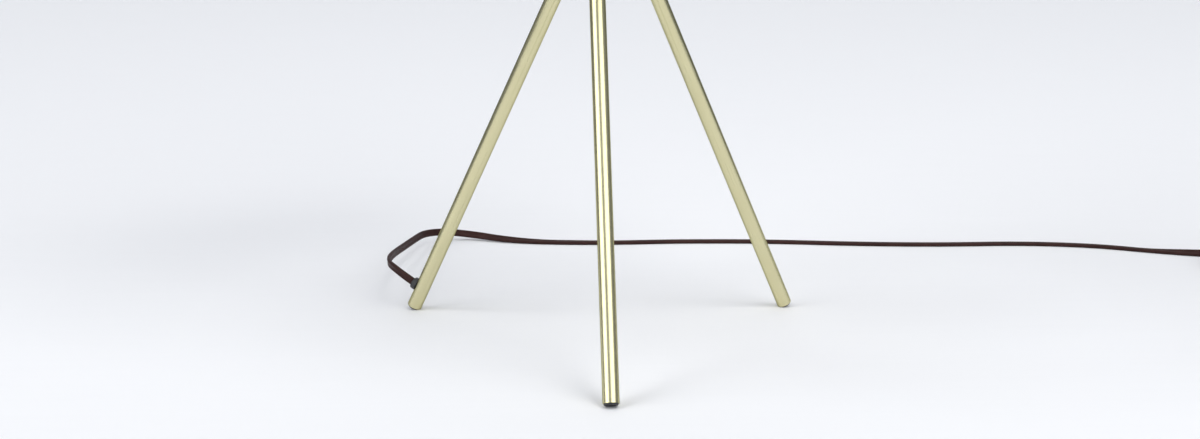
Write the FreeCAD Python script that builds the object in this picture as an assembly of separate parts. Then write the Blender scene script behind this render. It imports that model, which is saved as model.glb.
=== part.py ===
import FreeCAD, Part
import math
import os

# Tripod table lamp. Millimetres, +Z up. The origin is on the table, on the lamp's upright axis.
# The front leg stands towards -Y. The three tubular legs lean in, pass beside one another in a hub
# and carry a round housing, which holds the lampholder, the harp and the drum shade.

V = FreeCAD.Vector
UP = V(0, 0, 1)
AXIS_POINT = V(0, 0, 0)

# ---- Legs
LEG_DIAMETER = 12.7
LEG_WALL = 1.0
FOOT_RADIUS = 190.0  # from the lamp's axis to a leg's centre line, at the table
CROSSING_HEIGHT = 378.0  # where the legs pass the axis
CROSSING_WEB = 0.6  # metal between two legs where they pass
LEG_ABOVE_CROSSING = 74.0  # up to the centre of a leg's upper end
LEG_AZIMUTHS = {"front": -90.0, "right": 30.0, "left": 150.0}

# ---- Plugs in the lower ends of the legs
PLUG_FACE_DIAMETER = 10.8
PLUG_SHOULDER_DIAMETER = 11.4
PLUG_PROUD = 1.2
PLUG_SHANK_LENGTH = 9.0
PLUG_CLEARANCE = 0.05
PLUG_FLAT_DEPTH = 0.4  # how far the plug's low edge is cut flat to rest on the table

# ---- Hub at the crossing
HUB_DIAMETER = 46.0
HUB_HEIGHT = 30.0
HUB_CHAMFER = 1.5
LEG_CLEARANCE = 0.05  # round a leg, in the hub and in the housing
HUB_SCREW_DIAMETER = 5.0
HUB_SCREW_LENGTH = 8.0
HEX_SOCKET_SHARE = 0.5  # a set screw's hexagon across flats, of the screw's diameter
HEX_SOCKET_DEPTH = 2.2

# ---- Housing on the upper ends of the legs
HOUSING_DIAMETER = 104.0
HOUSING_WALL = 2.5
HOUSING_FLOOR = 4.0
HOUSING_INSIDE = 28.0  # from the floor's upper face to the lid
LEG_ENTRY = 4.0  # from the floor's upper face to the centre of a leg's end
SLEEVE_DIAMETER = 20.0
SLEEVE_LENGTH = 15.0  # below the floor's upper face, along the leg
SLEEVE_SCREW_DIAMETER = 4.0
SLEEVE_SCREW_BELOW = 12.5  # below the leg's upper end, along the leg
POST_DIAMETER = 8.0
POST_WALL_BITE = 1.0  # how far a post runs into the wall
LID_THICKNESS = 2.5
LID_SCREW_DIAMETER = 3.0
LID_SCREW_LENGTH = 10.0
LID_SCREW_HEAD_DIAMETER = 5.8
LID_SCREW_HEAD_HEIGHT = 1.9
LID_SCREW_HEAD_ROUNDING = 0.4  # of its height
SCREW_CLEARANCE = 0.05

# ---- Threaded pipe and its nuts
PIPE_DIAMETER = 10.0
PIPE_BORE = 8.1
PIPE_BELOW_LID = 5.0
PIPE_INTO_CAP = 6.0
NUT_ACROSS_FLATS = 14.0
LOWER_NUT_HEIGHT = 4.0
UPPER_NUT_HEIGHT = 3.0
THREAD_CLEARANCE = 0.05

# ---- Harp, its saddle and its sleeves
SADDLE_THICKNESS = 1.5
SADDLE_WIDTH = 14.0
SADDLE_TAB_WIDTH = 4.6
SADDLE_FLAT_HALF = 21.0
SADDLE_TAB_RISE = 5.0  # from the lid's top to the foot of a tab
SADDLE_TAB_HEIGHT = 9.0
HARP_HALF_FOOT = 31.0  # from the axis to a foot
HARP_HALF_WIDTH = 57.0
HARP_HEIGHT = 188.0  # from the feet to the middle of the eyelet
HARP_WIRE_DIAMETER = 3.8
HARP_FOOT_DIAMETER = 6.0
HARP_FOOT_LENGTH = 10.0
HARP_FOOT_LIFT = 1.6  # a foot's lower end above the saddle's bend
HARP_STRAIGHT = 24.0  # straight wire above a foot, where the sleeve travels
HARP_WIDEST = (0.42, 0.70)  # from and to these shares of its height
HARP_SHOULDER = (0.68, 0.92)  # a shoulder's shares of the half width and of the height
TAB_CLEARANCE = 0.1
EYELET_DIAMETER = 14.0
EYELET_THICKNESS = 3.0
EYELET_PRESS_MARGIN = 1.0  # pressed flat round the swivel's boss
SLEEVE_BORE_CLEARANCE = 0.1
FOOT_SLEEVE_WALL = 1.1
FOOT_SLEEVE_LENGTH = 12.0

# ---- Swivel stud, finial and shade fitter
SWIVEL_SHANK_DIAMETER = 4.9
SWIVEL_SHANK_CLEARANCE = 0.05
SWIVEL_HEAD_DIAMETER = 8.0
SWIVEL_HEAD_HEIGHT = 1.5
SWIVEL_PLAY = 0.2  # above and below the eyelet
SWIVEL_BOSS_DIAMETER = 16.0
SWIVEL_BOSS_HEIGHT = 4.0
STUD_DIAMETER = 6.2
STUD_LENGTH = 13.0
FINIAL_COLLAR_DIAMETER = 13.0
FINIAL_COLLAR_HEIGHT = 5.0
FINIAL_BALL_DIAMETER = 18.0
FINIAL_NECK_DIAMETER = 8.4
FINIAL_NECK_HEIGHT = 3.0

# ---- Shade
SHADE_BOTTOM_DIAMETER = 406.4
SHADE_TOP_DIAMETER = 381.0
SHADE_HEIGHT = 240.0
SHADE_WALL = 1.0
SHADE_HEM = 9.0
SHADE_HEM_WALL = 1.6
SHADE_TOP_ABOVE_WASHER = 14.0  # the fitter drops from the top ring to the washer
RING_WIRE_DIAMETER = 3.2
RING_GAP = 0.15  # between a ring and the cloth's hem
WASHER_DIAMETER = 26.0
WASHER_THICKNESS = 1.5
SPOKE_COUNT = 3
SPOKE_DIAMETER = 3.2
SPOKE_SEAT = 9.0  # a spoke's inner end from the axis
SPOKE_LEVEL = 0.12  # of the ring's radius, level on the washer
SPOKE_RISEN = 0.30  # of the ring's radius, where the spoke has risen to the ring

# ---- Lampholder
CAP_DIAMETER = 33.2
CAP_HEIGHT = 20.0
CAP_WALL = 0.8
CAP_COLLAR_DIAMETER = 15.0
CAP_COLLAR_HEIGHT = 4.0
CAP_SHOULDER = (0.7, 5.5)  # a share of the cap's radius, and a height above the lampholder's base
CAP_WIDE_FROM = 12.0
CAP_SHOULDER_INSIDE = (0.68, 6.4)
CAP_THREAD_HEIGHT = 6.0
CAP_WIDE_INSIDE_FROM = 12.4
SHELL_DIAMETER = 31.4
SHELL_WALL = 0.5
SHELL_START = 16.0  # above the lampholder's base
HOLDER_HEIGHT = 60.0
LINER_WALL = 0.5
LINER_GAP = 0.15
LINER_START = 1.0  # above the shell's lower end
LINER_TOP_INSET = 2.0  # below the shell's rim
BLOCK_DIAMETER = 27.8
BLOCK_START = 11.5
BLOCK_END = 31.0
SCREW_SHELL_BORE = 26.9
SCREW_SHELL_WALL = 0.4
SCREW_SHELL_TOP_INSET = 2.0  # below the lampholder's rim
TONGUE_THICKNESS = 0.6
TONGUE_RISE = 2.0
TONGUE_WIDTH = 5.0
TONGUE_BENDS = (-8.0, -3.0, 2.0, 5.0)  # along X: its riveted end, its two bends and its free end
KNOB_HEIGHT = 25.0  # the switch's axis above the lampholder's base
KNOB_STEM_DIAMETER = 4.0
KNOB_STEM_CLEARANCE = 0.08
KNOB_STEM_DEPTH = 6.0  # the stem's inner end from the axis
KNOB_HOLE_DIAMETER = 6.4
KNOB_START = 19.0  # the knob's inner face from the axis
KNOB_LENGTH = 15.0
KNOB_DIAMETER = 12.0
KNOB_CHAMFER = 0.8
KNOB_STEM_BITE = 1.0  # how far the stem runs into the knob
KNOB_FLUTES = 10
KNOB_FLUTE_DIAMETER = 1.8
TERMINAL_HEIGHT = 15.0
TERMINAL_SCREW_DIAMETER = 3.4
TERMINAL_SCREW_LENGTH = 6.0
TERMINAL_HEAD_DIAMETER = 5.6
TERMINAL_HEAD_HEIGHT = 1.4
TERMINAL_RECESS = 2.2
TERMINAL_RECESS_ROOM = 1.0  # round a screw's head

# ---- Bulb
BULB_LENGTH = 108.0
BULB_DIAMETER = 60.0
BULB_NECK_DIAMETER = 28.0
BULB_NECK_LENGTH = 12.0
BULB_GLASS_WALL = 0.9
BULB_STUB_LENGTH = 4.0  # of the glass, inside the base
BULB_STUB_CLEARANCE = 0.1
BULB_SHOULDER_HEIGHT = 1.5
BULB_CROWN_FROM = math.radians(-38)  # below the crown's equator
BULB_CROWN_MIDDLE = math.radians(20)
BULB_FLARE_HOLLOW = 1.3  # how far the flare curves in from a straight cone
BASE_DIAMETER = 26.2
BASE_WALL = 0.4
BASE_SHELL_LENGTH = 23.0
BASE_THREADS = 6
BASE_THREAD_DEPTH = 0.7
BASE_THREAD_START = 0.5  # above the base's lower end
BASE_THREAD_END = 2.5  # below its upper end
BASE_THREAD_SHARES = (0.35, 0.6, 0.95)  # of the pitch: where a thread's crest starts and ends, and its foot
INSULATOR_HEIGHT = 4.0
INSULATOR_TIP_DIAMETER = 12.0
CONTACT_DIAMETER = 9.0
CONTACT_HEIGHT = 1.6

# ---- Bushing in the left leg, and the cord
BUSHING_HEIGHT = 19.5  # where its axis meets the leg's centre line
BUSHING_DIAMETER = 10.6
BUSHING_PROUD = 3.6
BUSHING_SPIGOT_DIAMETER = 8.3
BUSHING_SPIGOT_PAST_WALL = 0.8
BUSHING_CLEARANCE = 0.05
BUSHING_EDGE = 0.6  # the rounding of its outer edge
CORD_WIDTH = 7.2
CORD_THICKNESS = 3.6
CORD_CLEARANCE = 0.1  # round the cord, in the bushing
CORD_LEG_BEND = 4.5  # centre line, where the cord turns up into the leg
CORD_HOUSING_BEND = 7.0
CORD_SIDE_BEND = 16.0
CORD_ABOVE_LEG = 2.0  # straight cord past the leg's upper end
CORD_END_IN_PIPE = 2.0  # below the pipe's upper end, where the cord's two wires part
WIRE_DIAMETER = 2.4
WIRE_CLEARANCE = 0.3  # below the lampholder's block
ARC_SHARE = 0.45  # of the shorter run, for each arc of a route

# The free cord, point by point: out of the bushing, in a stiff bow over the table behind the left leg,
# down to the table and then along it, past the back of the lamp.
CORD_ROUTE = [
    (-172.4, 100.1, 29.1),
    (-180.8, 108.5, 33.4),
    (-187.5, 126.0, 33.6),
    (-190.0, 160.0, 30.5),
    (-188.5, 205.0, 24.5),
    (-183.0, 252.0, 19.5),
    (-176.0, 298.0, 16.0),
    (-169.5, 338.0, 12.4),
    (-151.0, 358.0, 9.6),
    (-123.0, 361.0, 6.0),
    (-89.0, 348.0, 4.0),
    (-45.0, 339.0, 3.6),
    (16.0, 336.0, 3.6),
    (85.0, 341.0, 3.6),
    (175.0, 338.0, 3.6),
    (265.0, 324.0, 3.6),
    (350.0, 318.0, 3.6),
    (430.0, 322.0, 3.6),
    (505.0, 309.0, 3.6),
    (560.0, 281.0, 3.6),
]

# ---- The cord's coil, its tail and its plug
COIL_CENTRE = (634.0, 213.0)
COIL_START = 76.0  # degrees, seen from above; the coil runs clockwise
COIL_RADIUS = 37.0  # middle of its turns
COIL_PITCH = 8.0
COIL_LAYER = 7.8
COIL_TURNS_PER_LAYER = 1.314
COIL_CLIMB_TURNS = 0.5
COIL_LEAD = 42.0  # the cord's last straight run before the coil
COIL_STEPS_PER_TURN = 4
TAIL_ROUTE = [
    (12.0, 0.0, 0.0),
    (27.0, -1.5, -0.8),
    (44.0, -5.5, -2.6),
    (60.0, -11.5, -4.0),
    (72.0, -17.0, -4.2),
]
PLUG_BODY_LENGTH = 30.0
PLUG_BODY_WIDTH = 25.0
PLUG_BODY_THICKNESS = 14.4
PLUG_NECK_LENGTH = 12.0
PLUG_NECK_DIAMETER = 10.4
PLUG_EDGE = 2.5
BLADE_SPACING = 12.7
BLADE_WIDTH = 6.3
BLADE_THICKNESS = 1.5
BLADE_LENGTH = 16.0
BLADE_ROOT = 5.0

# ---- Worked out from the sizes above
LEG_RADIUS = LEG_DIAMETER / 2
LEG_TOP_HEIGHT = CROSSING_HEIGHT + LEG_ABOVE_CROSSING
LEG_BORE_RADIUS = LEG_RADIUS - LEG_WALL
INWARD = FOOT_RADIUS / CROSSING_HEIGHT
CROSSING_OFFSET = (LEG_DIAMETER + CROSSING_WEB) * math.sqrt(3 + 0.75 * INWARD**2) / 3
ASIDE = CROSSING_OFFSET / CROSSING_HEIGHT
LEAN = math.atan(math.hypot(INWARD, ASIDE))
PLUG_FACE_RADIUS = PLUG_FACE_DIAMETER / 2
PLUG_FACE_HEIGHT = PLUG_FACE_RADIUS * math.sin(LEAN) - PLUG_FLAT_DEPTH
LEG_START_HEIGHT = PLUG_FACE_HEIGHT + PLUG_PROUD * math.cos(LEAN)

FLOOR_TOP = LEG_TOP_HEIGHT - LEG_ENTRY
HOUSING_BOTTOM = FLOOR_TOP - HOUSING_FLOOR
HOUSING_RADIUS = HOUSING_DIAMETER / 2
HOUSING_BORE_RADIUS = HOUSING_RADIUS - HOUSING_WALL
LID_BOTTOM = FLOOR_TOP + HOUSING_INSIDE
LID_TOP = LID_BOTTOM + LID_THICKNESS
SADDLE_TOP = LID_TOP + SADDLE_THICKNESS
HOLDER_BASE = SADDLE_TOP + UPPER_NUT_HEIGHT
PIPE_BOTTOM = LID_BOTTOM - PIPE_BELOW_LID
PIPE_TOP = HOLDER_BASE + PIPE_INTO_CAP
HOLDER_TOP = HOLDER_BASE + HOLDER_HEIGHT

SADDLE_TAB_BASE = LID_TOP + SADDLE_TAB_RISE
FOOT_BOTTOM = SADDLE_TAB_BASE + HARP_FOOT_LIFT
FOOT_TOP = FOOT_BOTTOM + HARP_FOOT_LENGTH
EYELET_HEIGHT = FOOT_BOTTOM + HARP_HEIGHT
EYELET_TOP = EYELET_HEIGHT + EYELET_THICKNESS / 2
BOSS_BOTTOM = EYELET_TOP + SWIVEL_PLAY
WASHER_BOTTOM = BOSS_BOTTOM + SWIVEL_BOSS_HEIGHT
WASHER_TOP = WASHER_BOTTOM + WASHER_THICKNESS
SHADE_TOP = WASHER_TOP + SHADE_TOP_ABOVE_WASHER
SHADE_BOTTOM = SHADE_TOP - SHADE_HEIGHT
COLLAR_TOP = WASHER_TOP + FINIAL_COLLAR_HEIGHT

CONTACT_BOTTOM = HOLDER_BASE + BLOCK_END + TONGUE_THICKNESS + TONGUE_RISE
BULB_TOP = CONTACT_BOTTOM + BULB_LENGTH
CORD_RADIUS = CORD_WIDTH / 2

NODES = {}


# ---- Plain helpers
def rod(diameter, length, start, direction=UP):
    """A solid cylinder from start along direction."""
    return Part.makeCylinder(diameter / 2, length, start, direction)


def ring(outer, inner, bottom, height):
    """An upright hollow cylinder on the lamp's axis, by its diameters."""
    start = V(0, 0, bottom)
    return rod(outer, height, start).cut(rod(inner, height, start))


def turned(outline):
    """A solid turned about the lamp's axis from (radius, height) points, or from ready edges."""
    if isinstance(outline[0], tuple):
        points = [V(radius, 0, height) for radius, height in outline]
        wire = Part.makePolygon(points + points[:1])
    else:
        wire = Part.Wire(outline)
    return Part.Face(wire).revolve(AXIS_POINT, UP, 360)


def hexagon(across_flats, height, start, direction=UP):
    """A hexagonal prism from start along direction."""
    radius = across_flats / math.sqrt(3)
    corners = [V(radius * math.cos(math.pi / 3 * n), radius * math.sin(math.pi / 3 * n), 0) for n in range(6)]
    prism = Part.Face(Part.makePolygon(corners + corners[:1])).extrude(V(0, 0, height))
    prism.Placement = FreeCAD.Placement(start, FreeCAD.Rotation(UP, direction))
    return prism


def unit(vector):
    return vector * (1 / vector.Length)


def add(name, *solids):
    """Keeps solids as one named sub-part."""
    NODES[name] = list(solids)


# ---- Legs
def leg_frame(azimuth):
    """A leg's foot point, its outward and sideways directions, and its rise for 1 mm of height."""
    angle = math.radians(azimuth)
    outward = V(math.cos(angle), math.sin(angle), 0)
    sideways = V(-math.sin(angle), math.cos(angle), 0)
    return outward * FOOT_RADIUS, outward, sideways, UP - outward * INWARD - sideways * ASIDE


def leg_point(azimuth, height):
    foot, _, _, rise = leg_frame(azimuth)
    return foot + rise * height


def leg_direction(azimuth):
    return unit(leg_frame(azimuth)[3])


def leg_outer_normal(azimuth):
    """The direction square to a leg that points away from the lamp and up."""
    outward = leg_frame(azimuth)[1]
    along = leg_direction(azimuth)
    return unit(outward - along * outward.dot(along))


def leg_between(azimuth, low, high, diameter):
    """A rod on a leg's centre line, between two heights of that line."""
    start = leg_point(azimuth, low)
    return rod(diameter, (leg_point(azimuth, high) - start).Length, start, leg_direction(azimuth))


def bushing_frame():
    """Where the bushing's axis meets the left leg's centre line, and its direction."""
    azimuth = LEG_AZIMUTHS["left"]
    return leg_point(azimuth, BUSHING_HEIGHT), leg_outer_normal(azimuth)


def make_legs():
    for side, azimuth in LEG_AZIMUTHS.items():
        outside = leg_between(azimuth, LEG_START_HEIGHT, LEG_TOP_HEIGHT, LEG_DIAMETER)
        bore = leg_between(azimuth, LEG_START_HEIGHT, LEG_TOP_HEIGHT, 2 * LEG_BORE_RADIUS)
        leg = outside.cut(bore)
        if side == "left":
            centre, normal = bushing_frame()
            hole = BUSHING_SPIGOT_DIAMETER + 2 * BUSHING_CLEARANCE
            leg = leg.cut(rod(hole, LEG_DIAMETER, centre, normal))
        add("leg_" + side, leg)


def make_leg_plugs():
    plugs = []
    above_table = Part.makeBox(4 * FOOT_RADIUS, 4 * FOOT_RADIUS, LEG_TOP_HEIGHT,
                               V(-2 * FOOT_RADIUS, -2 * FOOT_RADIUS, 0))
    for azimuth in LEG_AZIMUTHS.values():
        start = leg_point(azimuth, LEG_START_HEIGHT)
        along = leg_direction(azimuth)
        head = Part.makeCone(PLUG_SHOULDER_DIAMETER / 2, PLUG_FACE_RADIUS, PLUG_PROUD, start, along * -1)
        shank = rod(2 * (LEG_BORE_RADIUS - PLUG_CLEARANCE), PLUG_SHANK_LENGTH, start, along)
        plugs.append(head.fuse(shank).common(above_table))
    add("leg_plugs", *plugs)


# ---- Hub
def set_screw(diameter, length, tip, direction):
    """A headless screw from its tip outwards, with a hexagon socket in its outer end."""
    body = rod(diameter, length, tip, direction)
    socket_start = tip + direction * (length - HEX_SOCKET_DEPTH)
    return body.cut(hexagon(diameter * HEX_SOCKET_SHARE, HEX_SOCKET_DEPTH, socket_start, direction))


def make_hub():
    bottom = CROSSING_HEIGHT - HUB_HEIGHT / 2
    radius = HUB_DIAMETER / 2
    hub = turned([
        (0, bottom), (radius - HUB_CHAMFER, bottom), (radius, bottom + HUB_CHAMFER),
        (radius, bottom + HUB_HEIGHT - HUB_CHAMFER), (radius - HUB_CHAMFER, bottom + HUB_HEIGHT),
        (0, bottom + HUB_HEIGHT),
    ])
    screws = []
    for azimuth in LEG_AZIMUTHS.values():
        hub = hub.cut(leg_between(azimuth, bottom - HUB_HEIGHT, bottom + 2 * HUB_HEIGHT,
                                  LEG_DIAMETER + 2 * LEG_CLEARANCE))
    for azimuth in LEG_AZIMUTHS.values():
        _, _, sideways, _ = leg_frame(azimuth)
        along = leg_direction(azimuth)
        outwards = unit((sideways - along * sideways.dot(along)) * -1)
        tip = leg_point(azimuth, CROSSING_HEIGHT) + outwards * LEG_RADIUS
        hub = hub.cut(rod(HUB_SCREW_DIAMETER + 2 * THREAD_CLEARANCE, HUB_DIAMETER, tip, outwards))
        screws.append(set_screw(HUB_SCREW_DIAMETER, HUB_SCREW_LENGTH, tip, outwards))
    add("crossing_hub", hub)
    add("hub_screws", *screws)


# ---- Housing, its lid and their screws
def post_azimuths():
    """The posts stand midway between the legs' upper ends."""
    for azimuth in LEG_AZIMUTHS.values():
        top = leg_point(azimuth, LEG_TOP_HEIGHT)
        yield math.degrees(math.atan2(top.y, top.x)) + 180 / len(LEG_AZIMUTHS)


def post_centres(height):
    distance = HOUSING_BORE_RADIUS + POST_WALL_BITE - POST_DIAMETER / 2
    for azimuth in post_azimuths():
        angle = math.radians(azimuth)
        yield V(distance * math.cos(angle), distance * math.sin(angle), height)


def make_housing():
    housing = rod(HOUSING_DIAMETER, LID_BOTTOM - HOUSING_BOTTOM, V(0, 0, HOUSING_BOTTOM))
    housing = housing.cut(rod(2 * HOUSING_BORE_RADIUS, HOUSING_INSIDE, V(0, 0, FLOOR_TOP)))
    below_floor_top = rod(2 * HOUSING_DIAMETER, FLOOR_TOP, AXIS_POINT)
    for azimuth in LEG_AZIMUTHS.values():
        low = FLOOR_TOP - SLEEVE_LENGTH * math.cos(LEAN)
        housing = housing.fuse(leg_between(azimuth, low, LEG_TOP_HEIGHT + SLEEVE_LENGTH, SLEEVE_DIAMETER)
                               .common(below_floor_top))
    for centre in post_centres(FLOOR_TOP):
        housing = housing.fuse(rod(POST_DIAMETER, HOUSING_INSIDE, centre))
    screws = []
    for azimuth in LEG_AZIMUTHS.values():
        housing = housing.cut(leg_between(azimuth, HOUSING_BOTTOM - 2 * SLEEVE_LENGTH, LEG_TOP_HEIGHT,
                                          LEG_DIAMETER + 2 * LEG_CLEARANCE))
        along = leg_direction(azimuth)
        outwards = leg_outer_normal(azimuth) * -1
        tip = leg_point(azimuth, LEG_TOP_HEIGHT) - along * SLEEVE_SCREW_BELOW + outwards * LEG_RADIUS
        length = SLEEVE_DIAMETER / 2 - LEG_RADIUS
        screw_hole = SLEEVE_SCREW_DIAMETER + 2 * THREAD_CLEARANCE
        housing = housing.cut(rod(screw_hole, SLEEVE_DIAMETER, tip, outwards))
        screws.append(set_screw(SLEEVE_SCREW_DIAMETER, length, tip, outwards))
    shank_hole = LID_SCREW_DIAMETER + 2 * SCREW_CLEARANCE
    for centre in post_centres(LID_BOTTOM - LID_SCREW_LENGTH):
        housing = housing.cut(rod(shank_hole, LID_SCREW_LENGTH, centre))
    add("top_housing", housing.removeSplitter())
    add("housing_screws", *screws)


def make_lid():
    lid = ring(HOUSING_DIAMETER, PIPE_DIAMETER + 2 * THREAD_CLEARANCE, LID_BOTTOM, LID_THICKNESS)
    screws = []
    for centre in post_centres(LID_TOP):
        lid = lid.cut(rod(LID_SCREW_DIAMETER + 4 * SCREW_CLEARANCE, LID_THICKNESS, centre, UP * -1))
        shank = rod(LID_SCREW_DIAMETER, LID_SCREW_LENGTH, centre, UP * -1)
        head = rod(LID_SCREW_HEAD_DIAMETER, LID_SCREW_HEAD_HEIGHT, centre)
        head = head.makeFillet(LID_SCREW_HEAD_HEIGHT * LID_SCREW_HEAD_ROUNDING, [head.Edges[0]])
        screws.append(head.fuse(shank))
    add("housing_lid", lid)
    add("lid_screws", *screws)


# ---- Pipe and nuts
def nut(bottom, height):
    body = hexagon(NUT_ACROSS_FLATS, height, V(0, 0, bottom))
    return body.cut(rod(PIPE_DIAMETER + 2 * THREAD_CLEARANCE, height, V(0, 0, bottom)))


def make_pipe():
    add("threaded_pipe", ring(PIPE_DIAMETER, PIPE_BORE, PIPE_BOTTOM, PIPE_TOP - PIPE_BOTTOM))
    add("lower_nut", nut(LID_BOTTOM - LOWER_NUT_HEIGHT, LOWER_NUT_HEIGHT))
    add("upper_nut", nut(SADDLE_TOP, UPPER_NUT_HEIGHT))


# ---- Harp
def bent_strip(path, thickness, width):
    """A strip of sheet that follows (x, z) points along its middle, width along Y."""
    sides = ([], [])
    for n, (x, z) in enumerate(path):
        into = unit(V(x, 0, z) - V(path[n - 1][0], 0, path[n - 1][1])) if n else None
        out = unit(V(path[n + 1][0], 0, path[n + 1][1]) - V(x, 0, z)) if n + 1 < len(path) else None
        into = into or out
        out = out or into
        normals = V(-into.z, 0, into.x), V(-out.z, 0, out.x)
        mitre = (normals[0] + normals[1]) * (1 / (1 + normals[0].dot(normals[1])))
        for side, sign in zip(sides, (1, -1)):
            side.append(V(x, -width / 2, z) + mitre * (sign * thickness / 2))
    outline = sides[0] + sides[1][::-1]
    return Part.Face(Part.makePolygon(outline + outline[:1])).extrude(V(0, width, 0))


def make_saddle():
    middle = LID_TOP + SADDLE_THICKNESS / 2
    tab_top = SADDLE_TAB_BASE + SADDLE_TAB_HEIGHT
    right = [(SADDLE_FLAT_HALF, middle), (HARP_HALF_FOOT, SADDLE_TAB_BASE), (HARP_HALF_FOOT, tab_top)]
    left = [(-x, z) for x, z in right[::-1]]
    saddle = bent_strip(left + right, SADDLE_THICKNESS, SADDLE_WIDTH)
    edge = (SADDLE_WIDTH - SADDLE_TAB_WIDTH) / 2
    reach = HARP_HALF_FOOT + SADDLE_THICKNESS
    for side in (-SADDLE_WIDTH / 2, SADDLE_TAB_WIDTH / 2):
        saddle = saddle.cut(Part.makeBox(2 * reach, edge, SADDLE_TAB_HEIGHT + HARP_FOOT_LIFT,
                                         V(-reach, side, SADDLE_TAB_BASE + HARP_FOOT_LIFT / 2)))
    saddle = saddle.cut(rod(PIPE_DIAMETER + 2 * THREAD_CLEARANCE, 4 * SADDLE_THICKNESS,
                            V(0, 0, LID_TOP - SADDLE_THICKNESS)))
    add("harp_saddle", saddle)


def route_wire(points, label=None):
    """Straight runs joined by tangent arcs, each arc as large as its two runs allow."""
    edges = []
    here = points[0]
    radii = []
    for before, corner, after in zip(points, points[1:], points[2:]):
        into = unit(corner - before)
        out = unit(after - corner)
        turn = into.getAngle(out)
        tangent = ARC_SHARE * min((corner - before).Length, (after - corner).Length)
        radius = tangent / math.tan(turn / 2)
        radii.append(radius)
        start = corner - into * tangent
        end = corner + out * tangent
        to_centre = unit(out - into)
        centre = corner + to_centre * (radius / math.cos(turn / 2))
        edges.append(Part.LineSegment(here, start).toShape())
        edges.append(Part.Arc(start, centre - to_centre * radius, end).toShape())
        here = end
    edges.append(Part.LineSegment(here, points[-1]).toShape())
    if label:
        print(label, "radii", [round(radius, 1) for radius in radii])
    return Part.Wire(edges)


def piped(wire, section):
    """A solid of one section along a wire."""
    return wire.makePipeShell([section], True, False)


def round_section(diameter, centre, direction):
    return Part.Wire(Part.makeCircle(diameter / 2, centre, direction))


def make_harp():
    wire_bottom = FOOT_TOP - HARP_WIRE_DIAMETER / 2
    height = EYELET_HEIGHT - FOOT_BOTTOM
    half = [
        (HARP_HALF_FOOT, wire_bottom),
        (HARP_HALF_FOOT, FOOT_TOP + HARP_STRAIGHT),
        (HARP_HALF_WIDTH, FOOT_BOTTOM + HARP_WIDEST[0] * height),
        (HARP_HALF_WIDTH, FOOT_BOTTOM + HARP_WIDEST[1] * height),
        (HARP_SHOULDER[0] * HARP_HALF_WIDTH, FOOT_BOTTOM + HARP_SHOULDER[1] * height),
        (EYELET_DIAMETER, EYELET_HEIGHT),
    ]
    points = [V(x, 0, z) for x, z in half] + [V(-x, 0, z) for x, z in half[::-1]]
    loop = piped(route_wire(points), round_section(HARP_WIRE_DIAMETER, points[0], UP))
    eyelet = rod(EYELET_DIAMETER, EYELET_THICKNESS, V(0, 0, EYELET_TOP - EYELET_THICKNESS))
    harp = loop.fuse(eyelet)
    slot_x = SADDLE_THICKNESS + 2 * TAB_CLEARANCE
    slot_y = SADDLE_TAB_WIDTH + 2 * TAB_CLEARANCE
    slot_z = SADDLE_TAB_BASE + SADDLE_TAB_HEIGHT - FOOT_BOTTOM
    sleeves = []
    for x in (-HARP_HALF_FOOT, HARP_HALF_FOOT):
        harp = harp.fuse(rod(HARP_FOOT_DIAMETER, HARP_FOOT_LENGTH, V(x, 0, FOOT_BOTTOM)))
        harp = harp.cut(Part.makeBox(slot_x, slot_y, slot_z, V(x - slot_x / 2, -slot_y / 2, FOOT_BOTTOM)))
        bore = HARP_FOOT_DIAMETER + 2 * SLEEVE_BORE_CLEARANCE
        start = V(x, 0, FOOT_BOTTOM)
        sleeves.append(rod(bore + 2 * FOOT_SLEEVE_WALL, FOOT_SLEEVE_LENGTH, start)
                       .cut(rod(bore, FOOT_SLEEVE_LENGTH, start)))
    harp = harp.cut(rod(SWIVEL_SHANK_DIAMETER + 2 * SWIVEL_SHANK_CLEARANCE, 4 * EYELET_THICKNESS,
                        V(0, 0, EYELET_HEIGHT - 2 * EYELET_THICKNESS)))
    # the wire is pressed flat above and below the eyelet, under the swivel's boss and over its head
    pressed = SWIVEL_BOSS_DIAMETER + 2 * EYELET_PRESS_MARGIN
    for start in (EYELET_TOP, EYELET_TOP - EYELET_THICKNESS - HARP_WIRE_DIAMETER):
        harp = harp.cut(rod(pressed, HARP_WIRE_DIAMETER, V(0, 0, start)))
    add("harp", harp)
    add("harp_sleeve_left", sleeves[0])
    add("harp_sleeve_right", sleeves[1])


# ---- Swivel stud and finial
def make_swivel():
    head_top = EYELET_TOP - EYELET_THICKNESS - SWIVEL_PLAY
    head = rod(SWIVEL_HEAD_DIAMETER, SWIVEL_HEAD_HEIGHT, V(0, 0, head_top - SWIVEL_HEAD_HEIGHT))
    shank = rod(SWIVEL_SHANK_DIAMETER, BOSS_BOTTOM - head_top, V(0, 0, head_top))
    boss = rod(SWIVEL_BOSS_DIAMETER, SWIVEL_BOSS_HEIGHT, V(0, 0, BOSS_BOTTOM))
    stud = rod(STUD_DIAMETER, STUD_LENGTH, V(0, 0, WASHER_BOTTOM))
    add("shade_swivel", head.fuse([shank, boss, stud]))


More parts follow.
